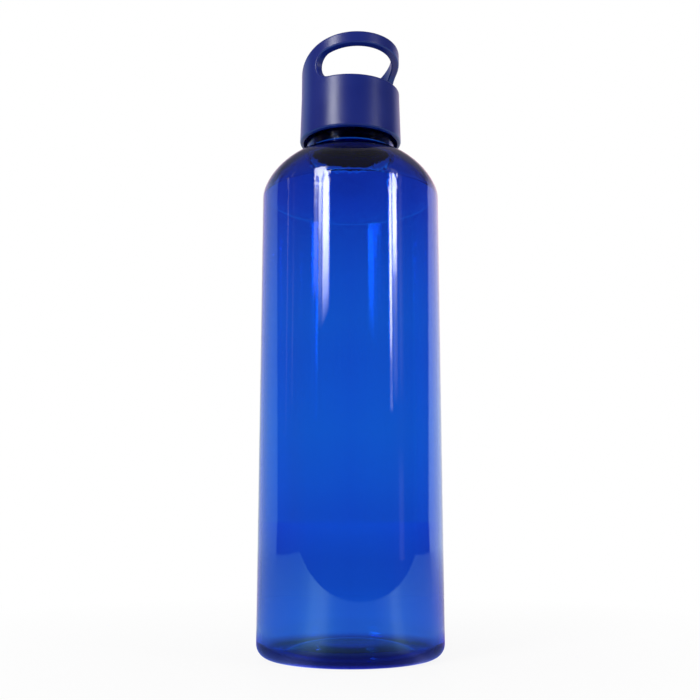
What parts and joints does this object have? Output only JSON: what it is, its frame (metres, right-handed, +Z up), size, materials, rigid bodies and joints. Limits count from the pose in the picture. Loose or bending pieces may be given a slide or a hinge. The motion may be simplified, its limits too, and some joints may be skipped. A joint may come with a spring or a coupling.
{
  "type": "water bottle",
  "caption": "Clear wide-shouldered drinking bottle with a narrow neck and a solid-colour screw cap whose tall slanted finger loop is moulded in one with it.",
  "frame": {"origin": "centre of the ring the bottle stands on", "axes": "+Z up along the bottle's axis, -Y towards the front of the carry loop (its high, open side), +X to the right of the loop seen from its front"},
  "size_m": [0.08, 0.08, 0.2742],
  "materials": {
    "clear_body": "clear cobalt-blue rigid plastic, polished inside and out",
    "cap_plastic": "opaque navy-blue plastic with a fine matte mould texture",
    "seal_rubber": "soft milky silicone"
  },
  "bodies": {
    "bottle": {"bottle_body": "clear_body"},
    "seal": {"seal_ring": "seal_rubber"},
    "cap": {"cap": "cap_plastic"}
  },
  "joints": [
    {"name": "cap_lift", "type": "slide", "parent": "bottle", "child": "seal", "axis": [0, 0, 1], "range_m": [0, 0.024]},
    {"name": "cap_turn", "type": "hinge", "parent": "seal", "child": "cap", "pos_m": [0, 0, 0.2518], "axis": [0, 0, 1], "range_deg": [0, 1080]}
  ],
  "couplings": [
    {"joint": "cap_lift", "follows": "cap_turn", "m_per_rad": 0.0012732}
  ]
}
